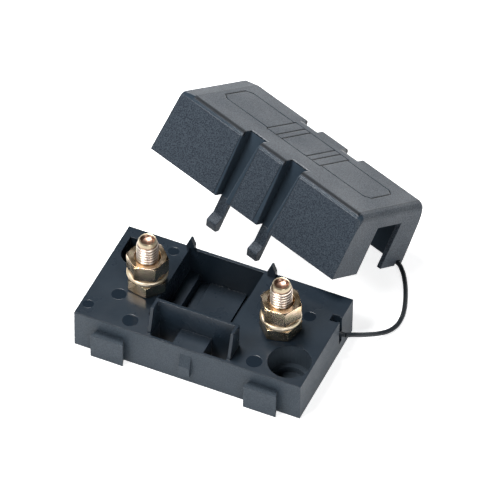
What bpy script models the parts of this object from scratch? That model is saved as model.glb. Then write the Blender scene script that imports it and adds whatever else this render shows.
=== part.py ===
"""Bolt-down strip-fuse holder: a moulded base with two clamp studs and a clip-on cover held by a cord.

The part's frame is the base's: origin at the centre of its underside, +X to the cord's end,
-Y to the front, +Z up. Driving dimensions are in millimetres and become metres in the helpers.
"""

from math import cos, pi, radians, sin, sqrt

import bmesh
import bpy
from mathutils import Matrix, Quaternion, Vector

MM = 0.001
OVERSHOOT = 1.0
FIT_GAP = 0.3

# Base moulding
BASE_LENGTH = 86.0
BASE_WIDTH = 46.0
BASE_HEIGHT = 15.8
HALF_LENGTH = BASE_LENGTH / 2
HALF_WIDTH = BASE_WIDTH / 2

# Clamp studs: M8 bolts at the strip fuse's hole pitch
STUD_PITCH = 50.8
STUD_RADIUS = 3.9
STUD_TOP = BASE_HEIGHT + 22.4
BORE_RADIUS = 4.25
HEX_FLATS = 13.0
HEAD_HEIGHT = 5.3
HEAD_POCKET_FLATS = 13.8
HEAD_POCKET_DEPTH = 6.0
CLAMP_NUT_HEIGHT = 4.8
WASHER_OUTER = 7.4
WASHER_HEIGHT = 2.1
WASHER_SPLIT = 1.4
TERMINAL_NUT_HEIGHT = 6.4
CLAMP_NUT_TURN = {"left": 50.0, "right": 14.0}
TERMINAL_NUT_TURN = {"left": 15.5, "right": 4.0}
CLAMP_NUT_Z = BASE_HEIGHT + FIT_GAP
WASHER_Z = CLAMP_NUT_Z + CLAMP_NUT_HEIGHT + FIT_GAP
TERMINAL_NUT_Z = WASHER_Z + WASHER_HEIGHT + FIT_GAP

# Fuse well between the studs, shifted towards the left
WELL_X = (-19.0, 9.5)
WELL_Y = (-13.2, 21.9)
WELL_LEDGE_Z = 4.8
WELL_PLATE_X = (-10.8, 3.1)
WELL_PLATE_Z = 1.8
WELL_SLOT_Z = 0.8
WELL_SLOTS_X = ((-14.6, -10.8), (3.1, 6.2))
WELL_SLOT_Y = (-10.0, 21.9)

# Latch shroud and the two windows that take the cover's legs
WINDOW_X = (5.8, 14.3)
WINDOW_Y = (-21.9, -14.6)
SHROUD_HALF = 15.7
SHROUD_WALL = 1.1
SHROUD_TOP = BASE_HEIGHT + 10.2
SHROUD_FOOT_Y = -21.4
SHROUD_SHOULDER_Y = -18.6

# Rear pegs, dovetail tongues and the latch wedge
PEG_X = (-18.4, 12.6)
PEG_WIDTH = 3.0
PEG_Y = (21.0, 22.8)
PEG_HEIGHT = 5.5
TONGUE_X = (-29.2, 29.0)
TONGUE_HEIGHT = 10.3
TONGUE_DEPTH = 3.0
TONGUE_FACE_HALF = 6.2
TONGUE_ROOT_HALF = 5.2
WEDGE_HALF = 2.1
WEDGE_DEPTH = 1.5
WEDGE_X = -0.4
WEDGE_Z = (3.6, 8.0, 12.8)

# Mounting holes
SCREW_HOLE_RADIUS = 2.7
SEAT_Z = 4.5
FRONT_HOLE = (34.75, -13.5)
FRONT_STEPS = ((7.7, 7.0), (5.9, SEAT_Z))
REAR_HOLE = (-34.6, 11.6)
REAR_POCKET_RADIUS = 5.7
REAR_POCKET_BACK = 18.4

# Cord slot in the right end
CORD_SLOT_Y = 12.1
CORD_RECESS_X = (39.4, 42.2)
CORD_RECESS_HALF = 1.6
CORD_SLOT_HALF = 1.15
CORD_SLOT_Z = 4.5

# Cover moulding, in its own frame: origin at the centre of its open rim
COVER_HEIGHT = 25.5
COVER_WALL = 1.6
COVER_END_DRAFT = 1.0
COVER_SIDE_DRAFT = 1.5
COVER_EDGE_RADIUS = 2.0
LEFT_FACET = (-37.0, 1.1)
RIGHT_CROWN = ((39.9, 0.0), (41.0, 0.35), (41.8, 0.9), (42.3, 1.6), (42.55, 2.5))
CHANNEL_FOOT_X = (7.4, 11.9)
CHANNEL_HEAD_X = (5.8, 13.4)
CHANNEL_FOOT_Y = 19.3
CHANNEL_HEAD_Y = 16.3
CHANNEL_WALL = 1.3
LEG_X = (7.5, 11.8)
LEG_THICKNESS = 1.8
LEG_LENGTH = 12.9
HOOK_DEPTH = 2.2
HOOK_TOP = -7.0
HOOK_SHOULDER = -9.6
HOOK_RIDGE = -10.2
HOOK_TIP = 0.6
END_OPENING_Y = (-6.8, 9.0)
END_OPENING_TOP = 19.0
PEG_NOTCHES_X = ((-21.8, -15.0), (9.6, 15.6))
PEG_NOTCH_TOP = 7.0
CORD_NOTCH_Y = (18.5, 20.9)
CORD_NOTCH_TOP = 2.3

# Label outline on the cover's top
GROOVE = 0.55
GROOVE_DEPTH = 0.35
LABEL_Y = (-6.4, 11.6)
LABEL_ENDS = (-35.2, 34.2)
LABEL_CENTRE = (-13.4, 12.2)
LABEL_CENTRE_Y = (-7.2, 12.6)
LABEL_BARS = (-9.0, -6.4, 5.2, 7.8)
LABEL_CORNER = 2.4

# Where the open cover lies: behind the base, tipped back on to its rear right corner
COVER_TURN = 35.5
COVER_TURN_AXIS = (-0.849, 0.253, -0.464)
COVER_PLACE = (-0.16, 53.96, 15.07)

# Tether: it swings about a bend just outside the base, and the cover turns on the bead at its far end
CORD_DIAMETER = 1.7
CORD_SPACING = 3.0
CORD_HEIGHT = 8.9
BASE_BEAD_X = 40.8
BASE_BEAD_RADIUS = 1.1
BASE_BEAD_HEIGHT = 3.6
STEM_END_X = 43.9
SWING_AXIS = (44.9, 12.2)
COVER_BEAD_RADIUS = 1.3
COVER_BEAD_X = (38.6, 41.0)
COVER_BEAD_Y = 19.7
COVER_BEAD_Z = 1.2
CORD_ROUTE = (
    (44.9, 12.2, 8.9), (46.7, 13.7, 8.5), (48.2, 15.6, 7.3), (49.5, 17.9, 5.7), (50.8, 20.3, 4.1),
    (52.1, 22.6, 2.7), (53.5, 24.8, 1.7), (54.9, 26.9, 1.15), (56.0, 29.2, 0.95), (56.7, 32.0, 0.92),
    (56.5, 36.5, 0.92), (55.3, 41.2, 0.92), (53.6, 45.8, 0.92), (52.0, 49.4, 0.92), (50.4, 52.4, 1.05),
    (48.9, 54.7, 1.45), (47.7, 56.0, 1.95), (46.75, 56.85, 2.45), (45.79, 57.37, 2.755),
    (43.9, 57.99, 2.9),
)


def clear_scene():
    for item in list(bpy.data.objects):
        bpy.data.objects.remove(item, do_unlink=True)


def make_material(name, color, roughness, metallic=0.0):
    material = bpy.data.materials.new(name)
    material.use_nodes = True
    shader = material.node_tree.nodes["Principled BSDF"]
    shader.inputs["Base Color"].default_value = (*color, 1.0)
    shader.inputs["Roughness"].default_value = roughness
    shader.inputs["Metallic"].default_value = metallic
    return material


def add_object(name, bm, material=None):
    """Turns a bmesh in millimetres into an object in metres."""
    bmesh.ops.scale(bm, vec=(MM, MM, MM), verts=bm.verts)
    bmesh.ops.recalc_face_normals(bm, faces=bm.faces)
    mesh = bpy.data.meshes.new(name)
    bm.to_mesh(mesh)
    bm.free()
    item = bpy.data.objects.new(name, mesh)
    bpy.context.scene.collection.objects.link(item)
    if material:
        mesh.materials.append(material)
    return item


def prism(name, outline, axis, low, high, material=None):
    """Extrudes an outline along an axis; the outline holds the other two coordinates in X, Y, Z order."""
    bm = bmesh.new()

    def place(point, along):
        if axis == "X":
            return (along, point[0], point[1])
        if axis == "Y":
            return (point[0], along, point[1])
        return (point[0], point[1], along)

    start = [bm.verts.new(place(point, low)) for point in outline]
    end = [bm.verts.new(place(point, high)) for point in outline]
    bm.faces.new(start)
    bm.faces.new(list(reversed(end)))
    count = len(outline)
    for i in range(count):
        j = (i + 1) % count
        bm.faces.new((start[i], end[i], end[j], start[j]))
    return add_object(name, bm, material)


def box(name, x, y, z, material=None):
    outline = [(x[0], y[0]), (x[1], y[0]), (x[1], y[1]), (x[0], y[1])]
    return prism(name, outline, "Z", z[0], z[1], material)


def circle(centre, radius, count, start=0.0):
    angles = [start + 2 * pi * i / count for i in range(count)]
    return [(centre[0] + radius * cos(a), centre[1] + radius * sin(a)) for a in angles]


def turned(name, profile, centre, count=32, material=None):
    """Turns (radius, height) points round Z. A point on the axis closes the end."""
    bm = bmesh.new()
    rings = []
    for radius, height in profile:
        if radius == 0:
            rings.append([bm.verts.new((centre[0], centre[1], height))])
        else:
            rings.append([bm.verts.new((x, y, height)) for x, y in circle(centre, radius, count)])
    closed = profile[0][0] != 0
    pairs = list(zip(rings, rings[1:])) + ([(rings[-1], rings[0])] if closed else [])
    for lower, upper in pairs:
        for i in range(count):
            j = (i + 1) % count
            corners = [lower[i % len(lower)], lower[j % len(lower)]]
            corners += [upper[j % len(upper)], upper[i % len(upper)]]
            bm.faces.new(list(dict.fromkeys(corners)))
    return add_object(name, bm, material)


def boolean(target, tool, operation="DIFFERENCE"):
    """Applies one exact Boolean to the target and removes the tool."""
    tool.hide_render = True
    tool.display_type = "WIRE"
    modifier = target.modifiers.new(operation.lower(), "BOOLEAN")
    modifier.operation = operation
    modifier.solver = "EXACT"
    modifier.object = tool
    depsgraph = bpy.context.evaluated_depsgraph_get()
    result = bpy.data.meshes.new_from_object(target.evaluated_get(depsgraph))
    target.modifiers.remove(modifier)
    old = target.data
    target.data = result
    bpy.data.meshes.remove(old)
    bpy.data.objects.remove(tool, do_unlink=True)
    target.data.name = target.name


def cut(target, *tools):
    for tool in tools:
        boolean(target, tool)


def join(target, *tools):
    for tool in tools:
        boolean(target, tool, "UNION")


def shade(item, degrees=35.0):
    item.data.shade_smooth()
    item.data.set_sharp_from_angle(angle=radians(degrees))


def hexagon(flats, turn_degrees):
    return circle((0.0, 0.0), flats / sqrt(3.0), 6, radians(turn_degrees))


def make_base(material):
    across_x, across_y = (-HALF_LENGTH, HALF_LENGTH), (-HALF_WIDTH, HALF_WIDTH)
    base = box("base_housing", across_x, across_y, (0, BASE_HEIGHT), material)
    above = BASE_HEIGHT + OVERSHOOT
    ledge_above = WELL_LEDGE_Z + OVERSHOOT
    for x in PEG_X:
        join(base, make_peg(x))
    for x in TONGUE_X:
        join(base, make_tongue(x))
    join(base, make_wedge(), make_shroud())
    cut(
        base,
        box("well", WELL_X, WELL_Y, (WELL_LEDGE_Z, above)),
        box("plate_recess", WELL_PLATE_X, WELL_Y, (WELL_PLATE_Z, ledge_above)),
        *[box("well_slot", x, WELL_SLOT_Y, (WELL_SLOT_Z, ledge_above)) for x in WELL_SLOTS_X],
    )
    for side in (-1, 1):
        window_x = sorted((side * WINDOW_X[0], side * WINDOW_X[1]))
        cut(base, box("window", window_x, WINDOW_Y, (-OVERSHOOT, above)))
        stud_x = side * STUD_PITCH / 2
        pocket = [(stud_x + x, y) for x, y in hexagon(HEAD_POCKET_FLATS, 0.0)]
        cut(base, prism("head_pocket", pocket, "Z", -OVERSHOOT, HEAD_POCKET_DEPTH))
        cut(base, prism("stud_bore", circle((stud_x, 0), BORE_RADIUS, 32), "Z", -OVERSHOOT, above))
    cut_mounting_holes(base, above)
    recess_y = (CORD_SLOT_Y - CORD_RECESS_HALF, CORD_SLOT_Y + CORD_RECESS_HALF)
    slot_y = (CORD_SLOT_Y - CORD_SLOT_HALF, CORD_SLOT_Y + CORD_SLOT_HALF)
    slot_x = (CORD_RECESS_X[0] + OVERSHOOT, HALF_LENGTH + OVERSHOOT)
    cut(
        base,
        box("cord_recess", CORD_RECESS_X, recess_y, (CORD_SLOT_Z, above)),
        box("cord_slot", slot_x, slot_y, (CORD_SLOT_Z, above)),
    )
    shade(base, 30)
    return base


def make_peg(x):
    foot = BASE_HEIGHT - OVERSHOOT
    half = PEG_WIDTH / 2
    outline = [
        (x - half, foot), (x + half, foot), (x + half, BASE_HEIGHT + 0.45 * PEG_HEIGHT),
        (x + 0.3, BASE_HEIGHT + PEG_HEIGHT), (x - 0.3, BASE_HEIGHT + PEG_HEIGHT),
        (x - half, BASE_HEIGHT + 0.45 * PEG_HEIGHT),
    ]
    return prism("peg", outline, "Y", PEG_Y[0], PEG_Y[1])


def make_tongue(x):
    face = -HALF_WIDTH - TONGUE_DEPTH
    inside = -HALF_WIDTH + OVERSHOOT
    outline = [
        (x - TONGUE_FACE_HALF, face), (x + TONGUE_FACE_HALF, face),
        (x + TONGUE_ROOT_HALF, -HALF_WIDTH), (x + TONGUE_ROOT_HALF, inside),
        (x - TONGUE_ROOT_HALF, inside), (x - TONGUE_ROOT_HALF, -HALF_WIDTH),
    ]
    return prism("tongue", outline, "Z", 0.0, TONGUE_HEIGHT)


def make_wedge():
    bottom, shoulder, top = WEDGE_Z
    inside = -HALF_WIDTH + 0.5
    outline = [
        (inside, bottom), (-HALF_WIDTH - WEDGE_DEPTH, bottom), (-HALF_WIDTH - WEDGE_DEPTH, shoulder),
        (-HALF_WIDTH, top), (inside, top),
    ]
    return prism("wedge", outline, "X", WEDGE_X - WEDGE_HALF, WEDGE_X + WEDGE_HALF)


def make_shroud():
    """A three-sided hood over the leg windows, open to the front and the top."""
    foot = BASE_HEIGHT - OVERSHOOT
    back = WINDOW_Y[1] + SHROUD_WALL
    side = [
        (SHROUD_FOOT_Y, foot), (back, foot), (back, SHROUD_TOP), (SHROUD_SHOULDER_Y, SHROUD_TOP),
        (SHROUD_FOOT_Y, BASE_HEIGHT),
    ]
    shroud = prism("shroud", side, "X", -SHROUD_HALF, SHROUD_HALF)
    inner = SHROUD_HALF - SHROUD_WALL
    high = SHROUD_TOP + OVERSHOOT
    cut(shroud, box("shroud_inside", (-inner, inner), (-HALF_WIDTH, WINDOW_Y[1]), (foot - OVERSHOOT, high)))
    return shroud


def cut_mounting_holes(base, above):
    for radius, floor in FRONT_STEPS:
        cut(base, prism("front_step", circle(FRONT_HOLE, radius, 36), "Z", floor, above))
    x, y = REAR_HOLE
    round_end = [pi + pi * i / 16 for i in range(17)]
    pocket = [(x + REAR_POCKET_RADIUS * cos(a), y + REAR_POCKET_RADIUS * sin(a)) for a in round_end]
    pocket += [(x + REAR_POCKET_RADIUS, REAR_POCKET_BACK), (x - REAR_POCKET_RADIUS, REAR_POCKET_BACK)]
    cut(base, prism("rear_pocket", pocket, "Z", SEAT_Z, above))
    for centre in (FRONT_HOLE, REAR_HOLE):
        cut(base, prism("screw_hole", circle(centre, SCREW_HOLE_RADIUS, 24), "Z", -OVERSHOOT, above))


def make_stud(name, x, material):
    """A hex-head bolt pushed up through the base, with a chamfered and cupped end."""
    head_top = HEAD_POCKET_DEPTH - FIT_GAP
    profile = [
        (0.0, head_top - 1.0), (STUD_RADIUS, head_top - 1.0), (STUD_RADIUS, STUD_TOP - 3.4),
        (STUD_RADIUS - 0.6, STUD_TOP - 2.4), (STUD_RADIUS - 0.6, STUD_TOP - 0.7),
        (STUD_RADIUS - 1.2, STUD_TOP), (1.9, STUD_TOP), (0.0, STUD_TOP - 1.1),
    ]
    stud = turned(name, profile, (0, 0), 32, material)
    join(stud, prism("head", hexagon(HEX_FLATS, 0.0), "Z", head_top - HEAD_HEIGHT, head_top))
    shade(stud)
    stud.location.x = x * MM
    return stud


def make_nut(name, x, low, height, turn, material):
    """A hex nut with its corners turned off at both ends."""
    nut = prism(name, hexagon(HEX_FLATS, turn), "Z", 0.0, height, material)
    corner = HEX_FLATS / sqrt(3.0) + 0.2
    flat = HEX_FLATS / 2 - 0.25
    drop = 0.58 * (corner - flat)
    profile = [
        (0.0, -0.01), (flat, -0.01), (corner, drop), (corner, height - drop), (flat, height + 0.01),
        (0.0, height + 0.01),
    ]
    boolean(nut, turned("chamfer", profile, (0, 0), 36), "INTERSECT")
    cut(nut, prism("bore", circle((0, 0), BORE_RADIUS, 32), "Z", -OVERSHOOT, height + OVERSHOOT))
    shade(nut, 25)
    nut.location = Vector((x, 0.0, low)) * MM
    return nut


def make_washer(name, x, material):
    """A split spring washer with rounded outer corners."""
    high, inner, edge = WASHER_HEIGHT, BORE_RADIUS + 0.15, 0.5
    profile = [
        (inner, 0.0), (WASHER_OUTER - edge, 0.0), (WASHER_OUTER, edge),
        (WASHER_OUTER, high - edge), (WASHER_OUTER - edge, high), (inner, high),
    ]
    washer = turned(name, profile, (0, 0), 40, material)
    slit = [
        (-0.9, inner - OVERSHOOT), (-0.9 + WASHER_SPLIT, inner - OVERSHOOT),
        (0.9, WASHER_OUTER + OVERSHOOT), (0.9 - WASHER_SPLIT, WASHER_OUTER + OVERSHOOT),
    ]
    cut(washer, prism("slit", slit, "Z", -OVERSHOOT, high + OVERSHOOT))
    shade(washer)
    washer.location = Vector((x, 0.0, WASHER_Z)) * MM
    return washer


def cover_half_width(z):
    return HALF_WIDTH - COVER_SIDE_DRAFT * z / COVER_HEIGHT


def cover_solid(name, inset, material=None):
    """The cover's outer form, or, inset by the wall, the hollow inside it."""
    top = COVER_HEIGHT - inset
    foot = -OVERSHOOT if inset else 0.0
    end = HALF_LENGTH - inset
    head = end - COVER_END_DRAFT
    crown = [(x - inset, top - drop) for x, drop in reversed(RIGHT_CROWN)]
    left_x, left_drop = LEFT_FACET
    profile = [(-end, foot), (end, foot), *crown, (left_x + inset, top), (-head, top - left_drop)]
    bm = bmesh.new()
    rows = []
    for side in (-1, 1):
        rows.append([bm.verts.new((x, side * (cover_half_width(z) - inset), z)) for x, z in profile])
    bm.faces.new(rows[0])
    bm.faces.new(list(reversed(rows[1])))
    count = len(profile)
    for i in range(count):
        j = (i + 1) % count
        bm.faces.new((rows[0][i], rows[1][i], rows[1][j], rows[0][j]))
    if not inset:
        upper = [set(row[2:]) for row in rows]
        long_edges = [e for e in bm.edges if any(set(e.verts) <= verts for verts in upper)]
        bmesh.ops.bevel(
            bm, geom=long_edges, offset=COVER_EDGE_RADIUS, offset_type="OFFSET", segments=4, profile=0.5,
            affect="EDGES", clamp_overlap=True,
        )
    return add_object(name, bm, material)


def channel_solid(name, side, end, grow):
    """The space of one channel: it narrows downwards, its floor slopes, and it runs out past the wall."""
    low, high = -2 * OVERSHOOT, COVER_HEIGHT + OVERSHOOT
    bm = bmesh.new()
    rings = []
    for z in (low, high):
        t = z / COVER_HEIGHT
        near = CHANNEL_FOOT_X[0] + (CHANNEL_HEAD_X[0] - CHANNEL_FOOT_X[0]) * t - grow
        far = CHANNEL_FOOT_X[1] + (CHANNEL_HEAD_X[1] - CHANNEL_FOOT_X[1]) * t + grow
        floor = CHANNEL_FOOT_Y + (CHANNEL_HEAD_Y - CHANNEL_FOOT_Y) * t - grow
        outside = HALF_WIDTH + OVERSHOOT
        corners = [(near, floor), (far, floor), (far, outside), (near, outside)]
        rings.append([bm.verts.new((end * x, side * y, z)) for x, y in corners])
    bm.faces.new(rings[0])
    bm.faces.new(list(reversed(rings[1])))
    for i in range(4):
        j = (i + 1) % 4
        bm.faces.new((rings[0][i], rings[1][i], rings[1][j], rings[0][j]))
    return add_object(name, bm)


def make_leg(end):
    """A latch leg that runs on below the channel's floor and hooks outwards."""
    face = -CHANNEL_FOOT_Y
    back = face + LEG_THICKNESS
    tip = -LEG_LENGTH
    outline = [
        (back, 1.0), (back, tip + 0.4), (back - 0.4, tip), (face - HOOK_TIP, tip),
        (face - HOOK_DEPTH, HOOK_RIDGE), (face - HOOK_DEPTH + 0.1, HOOK_SHOULDER), (face, HOOK_TOP),
        (face, 0.0), (face + 0.12, 1.0),
    ]
    x = sorted((end * LEG_X[0], end * LEG_X[1]))
    return prism("leg", outline, "X", x[0], x[1])


def label_outline():
    """The label's eight-sided wings and wider centre as one closed outline."""
    (y0, y1), (c0, c1) = LABEL_Y, LABEL_CENTRE_Y
    (x0, x1), (m0, m1), k = LABEL_ENDS, LABEL_CENTRE, LABEL_CORNER
    return [
        (x0, y0 + k), (x0 + k, y0), (m0, y0), (m0, c0), (m1, c0), (m1, y0), (x1 - k, y0), (x1, y0 + k),
        (x1, y1 - k), (x1 - k, y1), (m1, y1), (m1, c1), (m0, c1), (m0, y1), (x0 + k, y1), (x0, y1 - k),
    ]


def inset_outline(points, distance):
    """Moves each side of a closed, counter-clockwise outline inwards by distance."""
    moved = []
    count = len(points)
    for i in range(count):
        before, here, after = Vector(points[i - 1]), Vector(points[i]), Vector(points[(i + 1) % count])
        first, second = (here - before).normalized(), (after - here).normalized()
        normal_1, normal_2 = Vector((-first.y, first.x)), Vector((-second.y, second.x))
        shift = (normal_1 + normal_2) / (1 + normal_1.dot(normal_2))
        moved.append(tuple(here + shift * distance))
    return moved


def cut_label(cover):
    low, high = COVER_HEIGHT - GROOVE_DEPTH, COVER_HEIGHT + OVERSHOOT
    ring = prism("label_groove", label_outline(), "Z", low, high)
    inside = inset_outline(label_outline(), GROOVE)
    cut(ring, prism("label_field", inside, "Z", low - OVERSHOOT, high + OVERSHOOT))
    cut(cover, ring)
    (c0, c1), (m0, m1) = LABEL_CENTRE_Y, LABEL_CENTRE
    bars = [m0, *LABEL_BARS, m1 - GROOVE]
    for x in bars:
        inset = 0.0 if x in (m0, m1 - GROOVE) else GROOVE / 2
        cut(cover, box("label_bar", (x, x + GROOVE), (c0 + inset, c1 - inset), (low, high)))


def make_cover(material):
    cover = cover_solid("cover_shell", 0.0, material)
    hollow = cover_solid("hollow", COVER_WALL)
    for side in (-1, 1):
        for end in (-1, 1):
            cut(hollow, channel_solid("channel_block", side, end, CHANNEL_WALL))
    cut(cover, hollow)
    for side in (-1, 1):
        for end in (-1, 1):
            cut(cover, channel_solid("channel", side, end, 0.0))
    for end in (-1, 1):
        x = sorted((end * (HALF_LENGTH - 5.0), end * (HALF_LENGTH + OVERSHOOT)))
        cut(cover, box("end_opening", x, END_OPENING_Y, (-OVERSHOOT, END_OPENING_TOP)))
        join(cover, make_leg(end))
    rear = (HALF_WIDTH - 3.4, HALF_WIDTH + OVERSHOOT)
    for x in PEG_NOTCHES_X:
        cut(cover, box("peg_notch", x, rear, (-OVERSHOOT, PEG_NOTCH_TOP)))
    right = (HALF_LENGTH - 3.0, HALF_LENGTH + OVERSHOOT)
    cut(cover, box("cord_notch", right, CORD_NOTCH_Y, (-OVERSHOOT, CORD_NOTCH_TOP)))
    cut_label(cover)
    shade(cover, 30)
    for edge in cover.data.edges:
        ends = [cover.data.vertices[i].co / MM for i in edge.vertices]
        if all(abs(v.x - LEFT_FACET[0]) < 0.01 and v.z > COVER_HEIGHT - GROOVE_DEPTH for v in ends):
            edge.use_edge_sharp = True
    return cover


def smooth_route(points, spacing):
    """Evenly spaced points on a Catmull-Rom curve through the route's own points."""
    fine = []
    count = len(points)
    for i in range(count - 1):
        p0, p1 = Vector(points[max(i - 1, 0)]), Vector(points[i])
        p2, p3 = Vector(points[i + 1]), Vector(points[min(i + 2, count - 1)])
        for step in range(16):
            t = step / 16
            fine.append(
                0.5 * (2 * p1 + (p2 - p0) * t + (2 * p0 - 5 * p1 + 4 * p2 - p3) * t**2
                       + (3 * p1 - p0 - 3 * p2 + p3) * t**3)
            )
    fine.append(Vector(points[-1]))
    total = sum((b - a).length for a, b in zip(fine, fine[1:]))
    steps = round(total / spacing)
    route, travelled, target = [fine[0]], 0.0, total / steps
    for a, b in zip(fine, fine[1:]):
        length = (b - a).length
        while travelled + length >= target - 1e-9 and len(route) < steps:
            route.append(a.lerp(b, (target - travelled) / length))
            target += total / steps
        travelled += length
    return route + [fine[-1]]


def make_cord(material):
    points = smooth_route(CORD_ROUTE, CORD_SPACING)
    curve = bpy.data.curves.new("tether_cord", "CURVE")
    curve.dimensions = "3D"
    curve.bevel_depth = CORD_DIAMETER / 2 * MM
    curve.bevel_resolution = 2
    curve.use_fill_caps = True
    spline = curve.splines.new("POLY")
    spline.points.add(len(points) - 1)
    for place, point in zip(spline.points, points):
        place.co = (*(point * MM), 1.0)
    cord = bpy.data.objects.new("tether_cord", curve)
    bpy.context.scene.collection.objects.link(cord)
    curve.materials.append(material)
    return cord


def make_base_bead(material):
    """The cord's moulded end in the base: an upright bead with a short stem out through the slot."""
    low, high = CORD_SLOT_Z + FIT_GAP, CORD_SLOT_Z + FIT_GAP + BASE_BEAD_HEIGHT
    profile = [
        (0.0, low), (BASE_BEAD_RADIUS - 0.4, low), (BASE_BEAD_RADIUS, low + 0.5),
        (BASE_BEAD_RADIUS, high - 0.5), (BASE_BEAD_RADIUS - 0.4, high), (0.0, high),
    ]
    bead = turned("tether_base_bead", profile, (BASE_BEAD_X, CORD_SLOT_Y), 24, material)
    stem = circle((CORD_SLOT_Y, CORD_HEIGHT), CORD_DIAMETER / 2, 16)
    join(bead, prism("stem", stem, "X", BASE_BEAD_X, STEM_END_X))
    shade(bead)
    return bead


def make_cover_bead(material):
    """A barrel-shaped bead inside the cover's notch, turned about the cord's own line."""
    low, high = COVER_BEAD_X
    profile = [
        (0.0, low), (COVER_BEAD_RADIUS - 0.4, low), (COVER_BEAD_RADIUS, low + 0.5),
        (COVER_BEAD_RADIUS, high - 0.5), (COVER_BEAD_RADIUS - 0.4, high), (0.0, high),
    ]
    bead = turned("tether_cover_bead", profile, (0, 0), 20, material)
    along_x = Matrix.Rotation(pi / 2, 4, "Y")
    to_notch = Matrix.Translation(Vector((0.0, COVER_BEAD_Y, COVER_BEAD_Z)) * MM)
    bead.data.transform(to_notch @ along_x)
    shade(bead)
    return bead


def main():
    clear_scene()
    moulding = make_material("black_moulding", (0.030, 0.034, 0.038), 0.45)
    cover_moulding = make_material("grained_moulding", (0.036, 0.041, 0.046), 0.5)
    plated = make_material("yellow_zinc", (0.62, 0.50, 0.30), 0.32, 1.0)
    washer_steel = make_material("pale_zinc", (0.66, 0.60, 0.47), 0.3, 1.0)
    cord_plastic = make_material("tether_plastic", (0.02, 0.025, 0.027), 0.5)

    make_base(moulding)
    make_base_bead(cord_plastic)
    for side, sign in (("left", -1), ("right", 1)):
        x = sign * STUD_PITCH / 2
        make_stud(f"{side}_stud", x, plated)
        make_nut(f"{side}_clamp_nut", x, CLAMP_NUT_Z, CLAMP_NUT_HEIGHT, CLAMP_NUT_TURN[side], plated)
        make_washer(f"{side}_spring_washer", x, washer_steel)
        angle = TERMINAL_NUT_TURN[side]
        make_nut(f"{side}_terminal_nut", x, TERMINAL_NUT_Z, TERMINAL_NUT_HEIGHT, angle, plated)

    swing_place = Matrix.Translation(Vector((*SWING_AXIS, CORD_HEIGHT)) * MM)
    swing_pivot = add_pivot("tether_swing_pivot", swing_place)
    hang(make_cord(cord_plastic), swing_pivot, Matrix.Identity(4))
    turn = Quaternion(Vector(COVER_TURN_AXIS).normalized(), radians(COVER_TURN))
    open_pose = Matrix.Translation(Vector(COVER_PLACE) * MM) @ turn.to_matrix().to_4x4()
    notch = Matrix.Translation(Vector((HALF_LENGTH, COVER_BEAD_Y, COVER_BEAD_Z)) * MM)
    roll_pivot = add_pivot("cover_roll_pivot", open_pose @ notch)
    hang(make_cover_bead(cord_plastic), swing_pivot, open_pose)
    hang(make_cover(cover_moulding), roll_pivot, open_pose)


def add_pivot(name, place):
    pivot = bpy.data.objects.new(name, None)
    bpy.context.scene.collection.objects.link(pivot)
    pivot.matrix_world = place
    return pivot


def hang(item, pivot, place):
    """Parents an item to a joint's pivot and puts it at its own place in the part."""
    item.parent = pivot
    item.matrix_parent_inverse = pivot.matrix_basis.inverted()
    item.matrix_basis = place


main()
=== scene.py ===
"""Looks for the bolt-down strip fuse holder.

The script sets camera, light, floor and materials, and makes the fine detail of metal and cord.
Lengths are in millimetres, unless a name says metres, and become metres in the helpers.
"""

from math import cos, pi, radians, sin, sqrt, tau

import bmesh
import bpy
from mathutils import Matrix, Quaternion, Vector


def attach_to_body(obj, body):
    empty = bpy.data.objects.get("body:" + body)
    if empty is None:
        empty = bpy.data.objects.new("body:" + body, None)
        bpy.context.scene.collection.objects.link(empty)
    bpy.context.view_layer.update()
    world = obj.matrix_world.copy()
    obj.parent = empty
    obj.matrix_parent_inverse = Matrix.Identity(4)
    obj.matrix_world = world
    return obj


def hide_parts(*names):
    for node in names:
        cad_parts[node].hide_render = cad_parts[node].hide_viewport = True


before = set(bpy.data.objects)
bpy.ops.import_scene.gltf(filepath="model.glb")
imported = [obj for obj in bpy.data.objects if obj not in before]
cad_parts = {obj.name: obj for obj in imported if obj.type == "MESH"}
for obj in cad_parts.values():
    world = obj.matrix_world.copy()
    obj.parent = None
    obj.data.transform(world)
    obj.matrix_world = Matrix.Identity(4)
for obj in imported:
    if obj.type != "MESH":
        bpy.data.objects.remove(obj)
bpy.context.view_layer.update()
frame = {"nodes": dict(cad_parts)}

MM = 0.001

# Camera
VIEW_AZIMUTH = 23.2
VIEW_ELEVATION = 46.03
VIEW_ROLL = 0.99
VIEW_TARGET = (-1.7, 35.1, 10.0)
VIEW_DISTANCE = 2400.0
VIEW_LENS = 490.5
SENSOR_WIDTH = 36.0
CLIP_END_METRES = 20.0

# Studio: name, size, power, place
LIGHTS = (
    ("key", (360, 300), 5.2, (-330, -440, 700)),
    ("fill", (420, 420), 3.0, (640, -600, 430)),
    ("overhead", (260, 220), 6.0, (-215, 160, 740)),
    ("backdrop", (1100, 260), 3.6, (-60, 820, 110)),
)
LIGHT_TARGET = (0, 25, 10)
HORIZON_STRENGTH = 0.75
CEILING_STRENGTH = 0.16
FLOOR_HALF_METRES = 4.0
FLOOR_DROP = 0.2

# Base and hardware, as in the part
DECK = 15.8
BASE_HALF = (43.0, 23.0)
STUD_X = {"left": -25.4, "right": 25.4}
STUD_TOP = DECK + 22.4
THREAD_PITCH = 1.25
THREAD_OUTER = 3.92
THREAD_ROOT = 3.28
STUD_SHANK = 3.9
NUT_FLATS = 13.0
NUT_BORE = 4.2
NUT_SINK = 0.55
NUT_CONE_RADIUS = 6.72
NUT_CONE_SLOPE = 0.5
WASHER_RADII = (4.4, 7.38)
WASHER_CORNER = 0.9
WASHER_RISE = 0.12
WASHER_START = 96
WASHER_SWEEP = 348
WASHER_SPLIT_LEAN = 0.09

# Bolt head: its lower face, its chamfer's upper edge and its upper face
HEAD_HEIGHTS = (0.4, 0.9, 5.7)
HEAD_CHAMFER = 0.94

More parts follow.
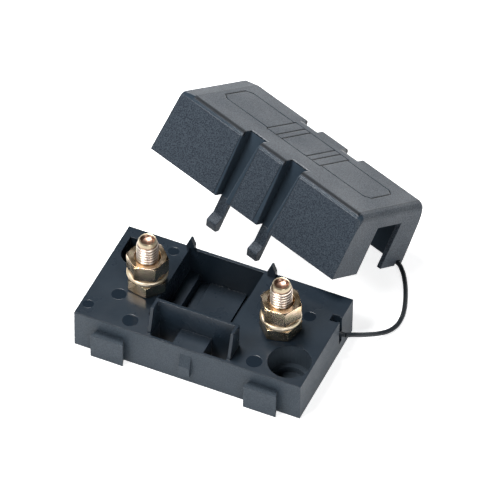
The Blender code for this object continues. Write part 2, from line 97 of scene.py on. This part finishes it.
# Cup in the stud's end: radius, depth
CUP_PROFILE = ((2.6, 0.0), (2.42, 0.12), (2.05, 0.9), (1.75, 1.05), (0.01, 1.15))

# Lower face and height of the pieces on each stud
CLAMP_NUT = (16.1, 4.8)
WASHER = (21.2, 2.1)
TERMINAL_NUT = (23.6, 6.4)

# How far each nut is turned, in degrees
CLAMP_TURN = {"left": 50.0, "right": 14.0}
TERMINAL_TURN = {"left": 15.5, "right": 4.0}

# Marks on the deck: x, y, radius
EJECTOR_MARKS = (
    (-32.4, -8.6, 2.6), (-40.2, -17.3, 1.9), (-23.6, -18.4, 2.8),
    (-23.6, 18.2, 2.0), (23.5, -18.3, 2.8), (32.4, 9.2, 2.2),
)
SCREW_POCKET = (34.75, -13.5)
SCREW_POCKET_RADIUS = 7.7

# Cover's open pose
COVER_TURN = 35.5
COVER_TURN_AXIS = (-0.849, 0.253, -0.464)
COVER_PLACE = (-0.16, 53.96, 15.07)
COVER_ROTATION = Quaternion(Vector(COVER_TURN_AXIS).normalized(), radians(COVER_TURN))
COVER_HEIGHT = 25.5
COVER_HALF_WIDTH = 23.0
COVER_DRAFT = 0.059

# Cover's surface: fields on the long walls, channels, the label's outline on the top, and the
# painted dark band, a painted reflection, on the long edges
FIELD_CENTRE_HALF = 5.3
FIELD_SIDE_START = 13.2
FIELD_SIDE_LEAN = 0.03
CHANNEL_LIP = (5.6, 13.6)
CHANNEL_LIP_WALL = 17.0
TOP_SEAMS = (-37.0, 39.9)
LABEL_HALF_LENGTH = 36.0
LABEL_EDGE_MARGIN = 4.0
PAINTED_DARK_BAND = (21.1, 22.65)

# Tether
CORD_DIAMETER = 1.7
CORD_POINT_SPACING = 1.2
STEM_X = (43.4, 45.0)
CORD_ROUTE = (
    (44.9, 12.2, 8.9), (46.7, 13.7, 8.5), (48.2, 15.6, 7.3), (49.5, 17.9, 5.7),
    (50.8, 20.3, 4.1), (52.1, 22.6, 2.7), (53.5, 24.8, 1.7), (54.9, 26.9, 1.15),
    (56.0, 29.2, 0.95), (56.7, 32.0, 0.92), (56.5, 36.5, 0.92), (55.3, 41.2, 0.92),
    (53.6, 45.8, 0.92), (52.0, 49.4, 0.92), (50.4, 52.4, 1.05), (48.9, 54.7, 1.45),
    (47.7, 56.0, 1.95), (46.75, 56.85, 2.45), (45.79, 57.37, 2.755), (43.9, 57.99, 2.9),
)

# Plastics: a darker and a lighter tone each, then the black of the lines and of the painted shade,
# the marks, and the screw pocket's painted light
BASE_BLACK = ((0.0105, 0.0175, 0.0265), (0.015, 0.024, 0.035))
COVER_BLACK = ((0.025, 0.037, 0.051), (0.033, 0.047, 0.063))
BASE_GRAIN = ((0.017, 0.026, 0.037), (0.030, 0.043, 0.057))
COVER_GRAIN = ((0.008, 0.014, 0.024), (0.039, 0.053, 0.069))
CORD_BLACK = ((0.008, 0.012, 0.016), (0.014, 0.019, 0.024))
LINE_AND_SHADE_BLACK = (0.002, 0.004, 0.007)
MARK_BLACK = (0.0105, 0.0165, 0.0245)
POCKET_GREY = (0.045, 0.060, 0.076)

# Chromate films: brown, gold, pink and olive, then the shaded places of the stud
NUT_FILM = ((0.60, 0.41, 0.24), (0.70, 0.54, 0.35), (0.84, 0.65, 0.49), (0.62, 0.56, 0.37))
STUD_FILM = ((0.80, 0.66, 0.54), (0.88, 0.76, 0.66), (0.93, 0.82, 0.75), (0.84, 0.76, 0.62))
WASHER_FILM = ((0.72, 0.58, 0.40), (0.80, 0.67, 0.49), (0.86, 0.75, 0.60), (0.76, 0.67, 0.48))
THREAD_SHADE = (0.33, 0.21, 0.14)
TIP_FILM = (0.44, 0.37, 0.26)
CUP_FILM = (0.42, 0.26, 0.19)


# Camera, light and floor


def make_camera():
    azimuth, elevation = radians(VIEW_AZIMUTH), radians(VIEW_ELEVATION)
    roll = radians(VIEW_ROLL)
    level = cos(elevation)
    back = Vector((sin(azimuth) * level, -cos(azimuth) * level, sin(elevation)))
    right = Vector((cos(azimuth), sin(azimuth), 0.0))
    up = back.cross(right)
    rolled_right = right * cos(roll) + up * sin(roll)
    rolled_up = -right * sin(roll) + up * cos(roll)
    camera = bpy.data.cameras.new("camera")
    camera.lens = VIEW_LENS
    camera.sensor_width = SENSOR_WIDTH
    camera.clip_end = CLIP_END_METRES
    item = bpy.data.objects.new("camera", camera)
    place = Matrix((rolled_right, rolled_up, back)).transposed().to_4x4()
    place.translation = (Vector(VIEW_TARGET) + back * VIEW_DISTANCE) * MM
    item.matrix_world = place
    bpy.context.scene.collection.objects.link(item)
    bpy.context.scene.camera = item


def make_light(name, size, energy, place):
    light = bpy.data.lights.new(name, "AREA")
    light.shape = "RECTANGLE"
    light.size, light.size_y = (s * MM for s in size)
    light.energy = energy
    item = bpy.data.objects.new(name, light)
    item.location = Vector(place) * MM
    aim = Vector(LIGHT_TARGET) - Vector(place)
    item.rotation_euler = aim.to_track_quat("-Z", "Y").to_euler()
    bpy.context.scene.collection.objects.link(item)


def make_world():
    """A studio that is bright all round at the horizon and dim overhead."""
    world = bpy.data.worlds.new("studio")
    world.use_nodes = True
    nodes, links = world.node_tree.nodes, world.node_tree.links
    coordinates = nodes.new("ShaderNodeTexCoord")
    split = nodes.new("ShaderNodeSeparateXYZ")
    fall = nodes.new("ShaderNodeMapRange")
    fall.interpolation_type = "SMOOTHSTEP"
    settings = (0.02, 0.42, HORIZON_STRENGTH, CEILING_STRENGTH)
    for socket, value in zip(list(fall.inputs)[1:5], settings):
        socket.default_value = value
    links.new(coordinates.outputs["Generated"], split.inputs[0])
    links.new(split.outputs["Z"], fall.inputs[0])
    links.new(fall.outputs[0], nodes["Background"].inputs["Strength"])
    bpy.context.scene.world = world
    bpy.context.scene.view_settings.view_transform = "Standard"


def make_stage():
    make_world()
    for name, size, energy, place in LIGHTS:
        make_light(name, size, energy, place)
    bm = bmesh.new()
    bmesh.ops.create_grid(bm, x_segments=1, y_segments=1, size=FLOOR_HALF_METRES)
    floor = finish_mesh("floor", bm, 1.0)
    floor.location.z = -FLOOR_DROP * MM
    shader = Shader("floor_white")
    shader.inputs["Base Color"].default_value = (0.93, 0.93, 0.93, 1.0)
    shader.inputs["Roughness"].default_value = 0.9
    shader.inputs["Emission Color"].default_value = (1.0, 1.0, 1.0, 1.0)
    shader.inputs["Emission Strength"].default_value = 0.75
    floor.data.materials.append(shader.material)


# Node helpers


class Shader:
    """A material's Principled shader with short calls for the nodes that feed it."""

    def __init__(self, name):
        self.material = bpy.data.materials.new(name)
        self.material.use_nodes = True
        self.nodes = self.material.node_tree.nodes
        self.links = self.material.node_tree.links
        self.inputs = self.nodes["Principled BSDF"].inputs
        self.coordinates = self.nodes.new("ShaderNodeTexCoord")

    def add(self, kind, **settings):
        node = self.nodes.new(kind)
        for key, value in settings.items():
            setattr(node, key, value)
        return node

    def feed(self, socket, value):
        if hasattr(value, "is_output"):
            self.links.new(value, socket)
        else:
            socket.default_value = value

    def fed(self, name):
        """The output that feeds one of the Principled shader's inputs now."""
        return self.inputs[name].links[0].from_socket

    def noise(self, scale, detail=4.0, roughness=0.55):
        node = self.add("ShaderNodeTexNoise")
        node.inputs["Scale"].default_value = scale
        node.inputs["Detail"].default_value = detail
        node.inputs["Roughness"].default_value = roughness
        self.feed(node.inputs["Vector"], self.coordinates.outputs["Object"])
        return node.outputs["Fac"]

    def math(self, operation, a, b=0.0, c=0.0):
        node = self.add("ShaderNodeMath", operation=operation)
        for socket, value in zip(node.inputs, (a, b, c)):
            self.feed(socket, value)
        return node.outputs[0]

    def both(self, a, b):
        return self.math("MULTIPLY", a, b)

    def either(self, a, b):
        return self.math("MAXIMUM", a, b)

    def length(self, x, y):
        squares = self.math("ADD", self.math("MULTIPLY", x, x), self.math("MULTIPLY", y, y))
        return self.math("SQRT", squares)

    def step(self, value, low, high):
        """Rises from 0 at low to 1 at high, both in millimetres. It falls where low is higher."""
        return self.remap(value, low * MM, high * MM)

    def remap(self, value, low, high, to_low=0.0, to_high=1.0):
        node = self.add("ShaderNodeMapRange", interpolation_type="SMOOTHSTEP")
        for socket, item in zip(node.inputs, (value, low, high, to_low, to_high)):
            self.feed(socket, item)
        return node.outputs[0]

    def ramp(self, value, *stops):
        node = self.add("ShaderNodeValToRGB")
        elements = node.color_ramp.elements
        while len(elements) < len(stops):
            elements.new(0.5)
        for element, (place, color) in zip(elements, stops):
            element.position = place
            element.color = (*color, 1.0)
        self.feed(node.inputs[0], value)
        return node.outputs[0]

    def mix_color(self, factor, a, b):
        node = self.add("ShaderNodeMix", data_type="RGBA")
        self.feed(node.inputs["Factor"], factor)
        self.feed(node.inputs[6], a if hasattr(a, "is_output") else (*a, 1.0))
        self.feed(node.inputs[7], b if hasattr(b, "is_output") else (*b, 1.0))
        return node.outputs[2]

    def mix_value(self, factor, a, b):
        node = self.add("ShaderNodeMix", data_type="FLOAT")
        self.feed(node.inputs["Factor"], factor)
        self.feed(node.inputs[2], a)
        self.feed(node.inputs[3], b)
        return node.outputs[0]

    def cover_with(self, mask, color, roughness):
        """Gives the places where mask is 1 a colour and roughness of their own."""
        self.feed(self.inputs["Base Color"], self.mix_color(mask, self.fed("Base Color"), color))
        self.feed(self.inputs["Roughness"], self.mix_value(mask, self.fed("Roughness"), roughness))

    def bump(self, height, strength, distance, normal=None):
        node = self.add("ShaderNodeBump")
        node.inputs["Strength"].default_value = strength
        node.inputs["Distance"].default_value = distance * MM
        self.feed(node.inputs["Height"], height)
        if normal is not None:
            self.feed(node.inputs["Normal"], normal)
        return node.outputs[0]

    def rounded_edges(self, radius):
        node = self.add("ShaderNodeBevel", samples=6)
        node.inputs["Radius"].default_value = radius * MM
        return node.outputs[0]

    def distance_to(self, point):
        node = self.add("ShaderNodeVectorMath", operation="DISTANCE")
        self.feed(node.inputs[0], self.coordinates.outputs["Object"])
        node.inputs[1].default_value = Vector(point) * MM
        return node.outputs["Value"]

    def axes(self, origin=(0.0, 0.0, 0.0), rotation=None):
        """The three coordinates of a point in a moulding's own frame, in metres."""
        offset = self.add("ShaderNodeVectorMath", operation="SUBTRACT")
        self.feed(offset.inputs[0], self.coordinates.outputs["Object"])
        offset.inputs[1].default_value = Vector(origin) * MM
        values = []
        for axis in (Vector((1, 0, 0)), Vector((0, 1, 0)), Vector((0, 0, 1))):
            along = self.add("ShaderNodeVectorMath", operation="DOT_PRODUCT")
            self.feed(along.inputs[0], offset.outputs[0])
            along.inputs[1].default_value = rotation @ axis if rotation else axis
            values.append(along.outputs["Value"])
        return values


# Materials


def moulding_color(shader, dark, light):
    """Black plastic with faint flow marks and dust."""
    flow = shader.noise(60.0, 3.0, 0.5)
    speck = shader.noise(900.0, 2.0, 0.6)
    shares = shader.math("MULTIPLY", flow, 0.75), shader.math("MULTIPLY", speck, 0.25)
    mixed = shader.math("ADD", *shares)
    return shader.ramp(mixed, (0.35, dark), (0.65, light))


def plastic(name, surface, smooth_color, grain_color, edge, polish):
    """Black moulding, polished or finely spark-eroded.

    surface returns two masks: where it is eroded, and where thin dark lines and painted shade run,
    or None.
    """
    shader = Shader(name)
    mask, lines = surface(shader)
    dark = moulding_color(shader, *smooth_color)
    grain = shader.noise(2400.0, 1.0, 0.5)
    light = shader.ramp(grain, (0.36, grain_color[0]), (0.64, grain_color[1]))
    color = shader.mix_color(mask, dark, light)
    # Thin dark lines and painted shade share one black
    if lines is not None:
        color = shader.mix_color(lines, color, LINE_AND_SHADE_BLACK)
    shader.feed(shader.inputs["Base Color"], color)
    blotch = shader.noise(48.0, 4.0, 0.6)
    smooth = shader.remap(blotch, 0.3, 0.7, polish, polish + 0.08)
    rough = shader.remap(blotch, 0.3, 0.7, 0.50, 0.60)
    shader.feed(shader.inputs["Roughness"], shader.mix_value(mask, smooth, rough))
    shader.inputs["Specular IOR Level"].default_value = 0.28
    pits = shader.noise(1900.0, 2.5, 0.7)
    depth = shader.mix_value(mask, 0.03, 1.0)
    normal = shader.rounded_edges(edge)
    normal = shader.bump(shader.math("MULTIPLY", pits, depth), 0.6, 0.06, normal)
    normal = shader.bump(mask, 0.8, 0.10, normal)
    shader.feed(shader.inputs["Normal"], normal)
    return shader


def base_surface(shader):
    """The base is grained on its outer walls and tongues; its deck and pockets are polished."""
    x, y, z = shader.axes()
    side_start, end_start = BASE_HALF[1] - 0.4, BASE_HALF[0] - 0.4
    side = shader.step(shader.math("ABSOLUTE", y), side_start, side_start + 0.2)
    end = shader.step(shader.math("ABSOLUTE", x), end_start, end_start + 0.2)
    below_deck = shader.step(z, DECK - 0.1, DECK - 0.3)
    return shader.both(shader.either(side, end), below_deck), None


def add_ejector_marks(shader):
    """Round ejector-pin marks: slightly sunk, glossier and darker discs on the deck."""
    marks = None
    for x, y, radius in EJECTOR_MARKS:
        away = shader.distance_to((x, y, DECK))
        inside = shader.step(away, radius + 0.12, radius - 0.12)
        marks = inside if marks is None else shader.either(marks, inside)
    shader.cover_with(marks, MARK_BLACK, 0.12)
    sunk = shader.math("MULTIPLY", marks, -1.0)
    shader.feed(shader.inputs["Normal"], shader.bump(sunk, 1.0, 0.06, shader.fed("Normal")))


def lighten_screw_pocket(shader):
    """Greys and dulls the stepped screw pocket, which stands in for the light that falls in."""
    x, y, z = shader.axes((*SCREW_POCKET, 0.0))
    within = shader.step(shader.length(x, y), SCREW_POCKET_RADIUS + 0.15, SCREW_POCKET_RADIUS)
    inside = shader.both(within, shader.step(z, DECK - 0.1, DECK - 0.4))
    shader.cover_with(inside, POCKET_GREY, 0.45)


def cover_surface(shader):
    """The cover is grained on its top, its ends, its legs and in fields on its long walls.

    The fields keep plain margins, bordered by thin sunk lines. The top has seams across it
    and the label's grooves, painted black inside as painted shade, and its long rounded edges
    carry a painted dark band, a painted reflection.
    """
    both, either, step = shader.both, shader.either, shader.step

    def stripe(value, place, half):
        away = shader.math("ABSOLUTE", shader.math("SUBTRACT", value, place * MM))
        return step(away, half + 0.07, half - 0.03)

    x, y, z = shader.axes(COVER_PLACE, COVER_ROTATION)
    top, half_width = COVER_HEIGHT, COVER_HALF_WIDTH
    along = shader.math("ABSOLUTE", x)
    wall = shader.math("MULTIPLY_ADD", z, COVER_DRAFT, shader.math("ABSOLUTE", y))
    side = shader.math("MULTIPLY_ADD", z, -FIELD_SIDE_LEAN, along)

    # Long walls
    flat_wall = step(z, top - 1.7, top - 1.9)
    on_wall = both(step(wall, half_width - 0.5, half_width - 0.3), flat_wall)
    in_centre = step(along, FIELD_CENTRE_HALF + 0.06, FIELD_CENTRE_HALF - 0.06)
    in_side = step(side, FIELD_SIDE_START - 0.06, FIELD_SIDE_START + 0.06)
    fields = both(on_wall, either(in_centre, in_side))

    # Top, with the sloped facet at its left end and without the lips of the channels
    on_top = step(z, top - 0.25, top - 0.12)
    lip_start, lip_end = CHANNEL_LIP
    channel_lip = both(
        step(wall, CHANNEL_LIP_WALL, CHANNEL_LIP_WALL + 0.1),
        both(step(along, lip_start, lip_start + 0.1), step(along, lip_end, lip_end - 0.1)),
    )
    on_top = both(on_top, shader.math("SUBTRACT", 1.0, channel_lip))
    left_seam, right_seam = TOP_SEAMS
    facet = both(step(x, left_seam + 0.1, left_seam), step(z, top - 1.4, top - 1.2))
    facet = both(facet, step(wall, half_width - 1.6, half_width - 1.8))
    on_top = either(on_top, facet)

    # Ends, with the rounded crown over the right one
    on_end = both(step(along, 42.1, 42.25), flat_wall)
    crown = both(step(x, right_seam, right_seam + 0.2), step(wall, 21.3, 21.0))
    on_end = either(on_end, crown)

    on_leg = step(z, -0.1, -0.4)

    # Dark band on the long rounded edges, which stands in for a dark reflection
    painted_dark_band = both(
        both(step(wall, PAINTED_DARK_BAND[0], 21.3), step(wall, PAINTED_DARK_BAND[1], 22.45)),
        both(step(x, -38.0, -36.0), step(x, 41.5, 40.0)),
    )
    painted_dark_band = both(painted_dark_band, step(z, top - 1.9, top - 1.7))

    mask = either(fields, either(either(on_top, on_end), on_leg))
    mask = either(mask, painted_dark_band)

    # Thin lines, with painted shade: black inside the label's grooves, and the painted dark band
    field_edges = either(
        stripe(along, FIELD_CENTRE_HALF, 0.14), stripe(side, FIELD_SIDE_START, 0.14)
    )
    borders = both(on_wall, field_edges)
    near_top = step(z, top - 0.5, top - 0.45)
    seams = both(near_top, either(stripe(x, right_seam, 0.16), stripe(x, left_seam, 0.12)))
    inside_label = step(along, LABEL_HALF_LENGTH, LABEL_HALF_LENGTH - 0.2)
    label_side = half_width - LABEL_EDGE_MARGIN
    inside_edge = step(wall, label_side, label_side - 0.2)
    below_top = step(z, top - 0.12, top - 0.2)
    # Painted shade: the label's grooves are painted black inside
    grooves = both(both(near_top, below_top), both(inside_label, inside_edge))
    lines = either(shader.math("MULTIPLY", either(borders, seams), 0.6), grooves)
    # The painted dark band, a painted reflection, is darkened towards the same black as the lines
    lines = either(lines, shader.math("MULTIPLY", painted_dark_band, 0.85))
    return mask, lines


def stud_film(shader, film):
    """Shades the thread's roots, the stud's turned tip and the cup in its end."""
    x, y, z = shader.axes()
    radius = shader.length(x, y)
    crest = shader.step(radius, THREAD_ROOT + 0.08, THREAD_OUTER - 0.12)
    film = shader.mix_color(crest, THREAD_SHADE, film)
    tip = shader.step(z, STUD_TOP - 1.35, STUD_TOP - 1.15)
    film = shader.mix_color(tip, film, TIP_FILM)
    cup = shader.both(tip, shader.step(radius, 2.62, 2.5))
    return shader.mix_color(cup, film, CUP_FILM)


def yellow_zinc(name, colors, roughness, threaded=False, edge=None):
    """Zinc plate with a yellow chromate film that shifts between brown, gold, pink and olive."""
    shader = Shader(name)
    patches = shader.noise(170.0, 2.0, 0.5)
    film = shader.ramp(patches, *zip((0.36, 0.46, 0.56, 0.66), colors))
    if threaded:
        film = stud_film(shader, film)
    shader.feed(shader.inputs["Base Color"], film)
    shader.inputs["Metallic"].default_value = 1.0
    dullness = shader.remap(patches, 0.3, 0.7, roughness, roughness + 0.08)
    shader.feed(shader.inputs["Roughness"], dullness)
    if edge:
        shader.feed(shader.inputs["Normal"], shader.rounded_edges(edge))
    return shader.material


def cord_plastic():
    shader = Shader("cord_plastic")
    shader.feed(shader.inputs["Base Color"], moulding_color(shader, *CORD_BLACK))
    shader.inputs["Roughness"].default_value = 0.5
    shader.inputs["Specular IOR Level"].default_value = 0.3
    shader.feed(shader.inputs["Normal"], shader.bump(shader.noise(1800.0), 0.3, 0.02))
    return shader.material


# Mesh helpers


def finish_mesh(name, bm, scale=MM, material=None, smooth_angle=None):
    """Makes an object. With a smooth_angle it is smooth but at the edges that turn by more."""
    bmesh.ops.scale(bm, vec=(scale, scale, scale), verts=bm.verts)
    bmesh.ops.recalc_face_normals(bm, faces=bm.faces)
    mesh = bpy.data.meshes.new(name)
    bm.to_mesh(mesh)
    bm.free()
    item = bpy.data.objects.new(name, mesh)
    bpy.context.scene.collection.objects.link(item)
    if material:
        mesh.materials.append(material)
    if smooth_angle is not None:
        mesh.shade_smooth()
        mesh.set_sharp_from_angle(angle=radians(smooth_angle))
    return item


def ring_surface(bm, rings, closed=False):
    """Joins equal rings of points with quads. Closed joins the last ring to the first."""
    rows = [[bm.verts.new(p) for p in ring] for ring in rings]
    pairs = list(zip(rows, rows[1:])) + ([(rows[-1], rows[0])] if closed else [])
    count = len(rows[0])
    for a, b in pairs:
        for i in range(count):
            j = (i + 1) % count
            bm.faces.new((a[i], a[j], b[j], b[i]))
    return rows


def around(radius, height, count):
    """A ring of points about Z."""
    angles = [tau * i / count for i in range(count)]
    return [(radius * cos(a), radius * sin(a), height) for a in angles]


def close_ends(bm, rows):
    """Caps the first and the last ring."""
    bm.faces.new(rows[0])
    bm.faces.new(list(reversed(rows[-1])))


def attach(item, body, node):
    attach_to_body(item, body)
    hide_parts(node)


# Metal parts


def hex_radius(angle):
    """Distance from a nut's axis to its side, at an angle counted from one of its corners."""
    return NUT_FLATS / 2 / cos(angle % (pi / 3) - pi / 6)


def make_nut(name, x, low, height, turn_degrees, material, body, node):
    """Hex nut: a turned cone cuts its corners at both ends, and the bore is countersunk."""
    turn = radians(turn_degrees)
    count = 144

    def column(angle):
        """The outline from the bore's lower edge, out round the side, to its upper edge."""
        side = hex_radius(angle)
        cone = min(side, NUT_CONE_RADIUS)
        drop = (side - cone) * NUT_CONE_SLOPE
        sink = NUT_BORE + NUT_SINK
        return [
            (NUT_BORE, NUT_SINK), (sink, 0.0), (cone, 0.0), (side, drop),
            (side, height - drop), (cone, height), (sink, height), (NUT_BORE, height - NUT_SINK),
        ]

    columns = [column(tau * i / count) for i in range(count)]
    rings = []
    for level in range(len(columns[0])):
        ring = []
        for i, points in enumerate(columns):
            radius, z = points[level]
            angle = tau * i / count + turn
            ring.append((radius * cos(angle), radius * sin(angle), z))
        rings.append(ring)
    bm = bmesh.new()
    ring_surface(bm, rings, closed=True)
    bmesh.ops.remove_doubles(bm, verts=bm.verts, dist=0.0005)
    nut = finish_mesh(name, bm, MM, material, 20)
    nut.location = Vector((x, 0.0, low)) * MM
    attach(nut, body, node)


def make_washer(side, material):
    """A split spring washer: a coil of rounded wire that rises a little to its slanted split."""
    (inner, outer), corner = WASHER_RADII, WASHER_CORNER
    low, height = WASHER
    section = []
    corners = (
        (outer - corner, height - corner, 0.0), (inner + corner, height - corner, pi / 2),
        (inner + corner, corner, pi), (outer - corner, corner, 1.5 * pi),
    )
    for r, z, start in corners:
        for k in range(7):
            a = start + k * pi / 12
            section.append((r + corner * cos(a), z + corner * sin(a)))
    steps = 96
    start, sweep = radians(WASHER_START), radians(WASHER_SWEEP)
    rings = []
    for i in range(steps + 1):
        t = i / steps
        ring = []
        for r, z in section:
            lean = WASHER_SPLIT_LEAN * (z / height - 0.5)
            angle = start + sweep * t + lean
            lift = WASHER_RISE * (t - 0.5)
            level = min(max(z + lift, 0.0), height)
            ring.append((r * cos(angle), r * sin(angle), level))
        rings.append(ring)
    bm = bmesh.new()
    rows = ring_surface(bm, rings)
    bm.faces.new(list(reversed(rows[0])))
    bm.faces.new(rows[-1])
    washer = finish_mesh(f"{side}_washer_coil", bm, MM, material, 40)
    washer.location = Vector((STUD_X[side], 0.0, low)) * MM
    attach(washer, f"{side}_washer", f"{side}_spring_washer")


def thread_radius(phase):
    """Radius of the thread at a phase from 0 to 1 of a pitch, with a rounded crest and root."""
    wave = abs(2 * (phase % 1.0) - 1)
    shaped = min(max((wave - 0.12) / 0.72, 0.0), 1.0)
    shaped = shaped * shaped * (3 - 2 * shaped) * 0.35 + shaped * 0.65
    return THREAD_ROOT + (THREAD_OUTER - THREAD_ROOT) * shaped


def tip_radius(end):
    """Radius of the stud's turned point, at a distance from its end."""
    return 3.05 + 0.3 * end if end > 0.2 else 2.95 + 0.8 * end


def make_thread(side, material):
    """The stud's threaded shank, with its chamfered and cupped end."""
    count, per_pitch = 72, 10
    bottom, top = DECK - 1.0, STUD_TOP
    rows = int((top - bottom) / THREAD_PITCH * per_pitch)
    rings = [around(0.01, bottom, count), around(THREAD_ROOT, bottom, count)]
    for row in range(rows + 1):
        z = bottom + (top - bottom) * row / rows
        end = top - z
        ring = []
        for i in range(count):
            angle = tau * i / count
            thread = thread_radius((z - bottom) / THREAD_PITCH - angle / tau)
            radius = min(thread, tip_radius(end)) if end > 1.3 else tip_radius(end)
            ring.append((radius * cos(angle), radius * sin(angle), z))
        rings.append(ring)
    rings += [around(radius, top - depth, count) for radius, depth in CUP_PROFILE]
    bm = bmesh.new()
    close_ends(bm, ring_surface(bm, rings))
    thread = finish_mesh(f"{side}_thread", bm, MM, material, 50)
    thread.location.x = STUD_X[side] * MM
    attach(thread, "base", f"{side}_stud")


def make_bolt_head(side, material):
    """The hex head under the base, with the plain shank that goes up into the thread."""
    low, chamfer, high = HEAD_HEIGHTS
    corner = NUT_FLATS / sqrt(3)
    sizes = ((HEAD_CHAMFER * corner, low), (corner, chamfer), (corner, high))
    bm = bmesh.new()
    close_ends(bm, ring_surface(bm, [around(radius, z, 6) for radius, z in sizes]))
    shank = [around(STUD_SHANK, z, 48) for z in (5.0, DECK - 0.9)]
    close_ends(bm, ring_surface(bm, shank))
    bolt = finish_mesh(f"{side}_bolt_head", bm, MM, material, 30)
    bolt.location.x = STUD_X[side] * MM
    attach(bolt, "base", f"{side}_stud")


# Tether


def make_stem(material):
    """The short fixed stem, along X and with rounded ends, between the base's bead and the cord."""
    low, high = STEM_X
    _, y, z = CORD_ROUTE[0]
    outer = CORD_DIAMETER / 2
    profile = (
        (low, 0.02), (low, outer - 0.25), (low + 0.25, outer),
        (high - 0.5, outer), (high - 0.15, outer - 0.2), (high, 0.02),
    )
    rings = [[(x, y + b, z + c) for b, c, _ in around(radius, 0.0, 28)] for x, radius in profile]
    bm = bmesh.new()
    close_ends(bm, ring_surface(bm, rings))
    stem = finish_mesh("tether_stem", bm, MM, material, 40)
    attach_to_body(stem, "base")


def smooth_route(points, spacing):
    """Evenly spaced points on a Catmull-Rom curve through the route, and its length."""
    fine = []
    count = len(points)
    for i in range(count - 1):
        p0, p1 = Vector(points[max(i - 1, 0)]), Vector(points[i])
        p2, p3 = Vector(points[i + 1]), Vector(points[min(i + 2, count - 1)])
        for step in range(24):
            t = step / 24
            square = (2 * p0 - 5 * p1 + 4 * p2 - p3) * t**2
            cube = (3 * p1 - p0 - 3 * p2 + p3) * t**3
            fine.append(0.5 * (2 * p1 + (p2 - p0) * t + square + cube))
    fine.append(Vector(points[-1]))
    total = sum((b - a).length for a, b in zip(fine, fine[1:]))
    steps = round(total / spacing)
    route, travelled, target = [fine[0]], 0.0, total / steps
    for a, b in zip(fine, fine[1:]):
        length = (b - a).length
        while travelled + length >= target - 1e-9 and len(route) < steps:
            route.append(a.lerp(b, (target - travelled) / length))
            target += total / steps
        travelled += length
    return route + [fine[-1]], total


def make_cord(material):
    points, total = smooth_route(CORD_ROUTE, CORD_POINT_SPACING)
    curve = bpy.data.curves.new("tether_tube", "CURVE")
    curve.dimensions = "3D"
    curve.bevel_depth = CORD_DIAMETER / 2 * MM
    curve.bevel_resolution = 6
    curve.use_fill_caps = True
    spline = curve.splines.new("POLY")
    spline.points.add(len(points) - 1)
    for place, point in zip(spline.points, points):
        place.co = (*(point * MM), 1.0)
    tube = bpy.data.objects.new("tether_tube", curve)
    bpy.context.scene.collection.objects.link(tube)
    curve.materials.append(material)
    attach(tube, "tether", "tether_cord")


# CAD nodes that keep their own shape


def paint(item, material):
    item.data.materials.clear()
    item.data.materials.append(material)


def even_shading(item):
    even = item.modifiers.new("even_shading", "WEIGHTED_NORMAL")
    even.weight = 100
    even.mode = "FACE_AREA"
    even.keep_sharp = True


make_camera()
make_stage()

cord_material = cord_plastic()
make_cord(cord_material)
make_stem(cord_material)

nut_metal = yellow_zinc("yellow_zinc_nut", NUT_FILM, 0.17, edge=0.25)
stud_metal = yellow_zinc("yellow_zinc_stud", STUD_FILM, 0.30, threaded=True)
washer_metal = yellow_zinc("pale_zinc_washer", WASHER_FILM, 0.42)
for side, x in STUD_X.items():
    make_thread(side, stud_metal)
    make_bolt_head(side, stud_metal)
    make_nut(
        f"{side}_clamp_hex", x, *CLAMP_NUT, CLAMP_TURN[side], nut_metal,
        "base", f"{side}_clamp_nut",
    )
    make_washer(side, washer_metal)
    make_nut(
        f"{side}_terminal_hex", x, *TERMINAL_NUT, TERMINAL_TURN[side], nut_metal,
        f"{side}_terminal_nut", f"{side}_terminal_nut",
    )

nodes = frame["nodes"]
base_plastic = plastic("base_plastic", base_surface, BASE_BLACK, BASE_GRAIN, 0.22, 0.25)
add_ejector_marks(base_plastic)
lighten_screw_pocket(base_plastic)
cover_plastic = plastic("cover_plastic", cover_surface, COVER_BLACK, COVER_GRAIN, 0.45, 0.09)
for name, shader in (("base_housing", base_plastic), ("cover_shell", cover_plastic)):
    paint(nodes[name], shader.material)
    even_shading(nodes[name])
for name in ("tether_base_bead", "tether_cover_bead"):
    paint(nodes[name], cord_material)
